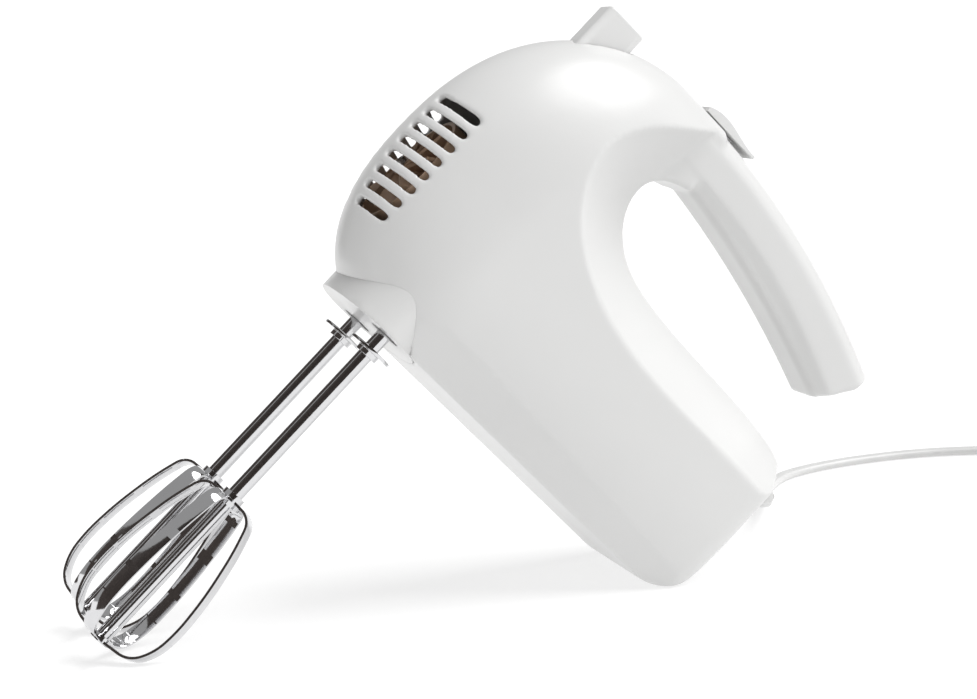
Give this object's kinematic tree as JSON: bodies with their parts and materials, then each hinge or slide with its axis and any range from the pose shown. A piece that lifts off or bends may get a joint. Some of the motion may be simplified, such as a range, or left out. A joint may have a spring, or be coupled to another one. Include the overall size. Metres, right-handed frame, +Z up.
{
  "type": "electric hand mixer",
  "caption": "White electric hand mixer leaning on its two chrome beaters and its heel, with eject button, speed slider, worm-drive motor and cord with plug.",
  "frame": {"origin": "middle of the leaning mixer's bounding box, on the surface it leans on", "axes": "+X from the beaters towards the heel, +Y to the mixer's right-hand side, +Z up from the surface"},
  "size_m": [0.5321, 0.251, 0.219],
  "materials": {
    "white_shell": "white moulded plastic, satin gloss",
    "white_control": "white moulded plastic, satin gloss",
    "plated_screw": "zinc plated",
    "gear_case_nylon": "natural nylon",
    "sintered_bronze": "oil-filled sintered bronze",
    "spindle_steel": "turned steel",
    "gear_plastic": "greased acetal",
    "laminated_steel": "varnished laminations",
    "copper_winding": "enamelled copper wire",
    "commutator_copper": "turned copper",
    "bracket_steel": "pressed steel strap",
    "brown_moulding": "brown phenolic moulding",
    "brass_tube": "drawn brass",
    "carbon": "dull carbon",
    "spring_steel": "bright spring wire",
    "yoke_plastic": "grey nylon",
    "dark_moulding": "dark phenolic moulding",
    "wire_insulation": "black insulation",
    "cord_jacket": "white vinyl, slightly glossy",
    "relief_rubber": "white soft vinyl",
    "plug_vinyl": "white moulded vinyl",
    "plug_brass": "nickel plated brass",
    "beater_chrome": "bright chrome plate"
  },
  "bodies": {
    "housing": {"left_housing": "white_shell", "right_housing": "white_shell", "housing_screws": "plated_screw", "spindle_cover": "white_shell", "gear_case": "gear_case_nylon", "gear_case_cover": "gear_case_nylon", "gear_case_screws": "plated_screw", "spindle_bushes": "sintered_bronze", "stator_core": "laminated_steel", "field_coils": "copper_winding", "front_bracket": "bracket_steel", "rear_bracket": "bracket_steel", "shaft_bearings": "sintered_bronze", "fan_shroud": "brown_moulding", "brush_holders": "brass_tube", "carbon_brushes": "carbon", "brush_springs": "spring_steel", "eject_spring": "spring_steel", "switch_block": "dark_moulding", "switch_contacts": "brass_tube", "lead_wires": "wire_insulation", "cord_clamp": "gear_case_nylon", "cord_end": "cord_jacket", "strain_relief": "relief_rubber", "cord_lead": "cord_jacket", "cord_coil": "cord_jacket", "cord_tail": "cord_jacket", "plug_body": "plug_vinyl", "plug_blades": "plug_brass"},
    "rotor": {"motor_shaft": "spindle_steel", "worm": "spindle_steel", "armature_core": "laminated_steel", "armature_winding": "copper_winding", "commutator": "commutator_copper", "cooling_fan": "brown_moulding"},
    "left_drive": {"left_spindle": "spindle_steel", "left_worm_wheel": "gear_plastic"},
    "right_drive": {"right_spindle": "spindle_steel", "right_worm_wheel": "gear_plastic"},
    "left_beater": {"left_beater_shaft": "beater_chrome", "left_beater_collar": "beater_chrome", "left_beater_blades": "beater_chrome"},
    "right_beater": {"right_beater_shaft": "beater_chrome", "right_beater_collar": "beater_chrome", "right_beater_blades": "beater_chrome"},
    "ejector": {"eject_button": "white_control", "eject_yoke": "yoke_plastic"},
    "speed_control": {"speed_slider": "white_control", "switch_wiper": "brass_tube"}
  },
  "joints": [
    {"name": "motor_spin", "type": "hinge", "parent": "housing", "child": "rotor", "pos_m": [-0.00031, 0, 0.14094], "axis": [0.6576, 0, -0.7534], "continuous": true},
    {"name": "left_spindle_spin", "type": "hinge", "parent": "housing", "child": "left_drive", "pos_m": [-0.00935, -0.022, 0.13305], "axis": [0.7534, 0, 0.6576], "continuous": true},
    {"name": "right_spindle_spin", "type": "hinge", "parent": "housing", "child": "right_drive", "pos_m": [-0.00935, 0.022, 0.13305], "axis": [0.7534, 0, 0.6576], "continuous": true},
    {"name": "left_beater_slide", "type": "slide", "parent": "left_drive", "child": "left_beater", "axis": [-0.7534, 0, -0.6576], "range_m": [0, 0.03]},
    {"name": "right_beater_slide", "type": "slide", "parent": "right_drive", "child": "right_beater", "axis": [-0.7534, 0, -0.6576], "range_m": [0, 0.03]},
    {"name": "eject_press", "type": "slide", "parent": "housing", "child": "ejector", "axis": [-0.7534, 0, -0.6576], "range_m": [0, 0.006], "stiffness_N_per_m": 900, "springref_m": -0.004, "deforming": ["eject_spring"]},
    {"name": "speed_slide", "type": "slide", "parent": "housing", "child": "speed_control", "axis": [-0.6576, 0, 0.7534], "range_m": [0, 0.012]}
  ],
  "couplings": [
    {"joint": "left_spindle_spin", "follows": "motor_spin", "ratio": 0.066667},
    {"joint": "right_spindle_spin", "follows": "motor_spin", "ratio": -0.066667},
    {"joint": "left_beater_slide", "follows": "eject_press", "ratio": 5},
    {"joint": "right_beater_slide", "follows": "eject_press", "ratio": 5}
  ]
}
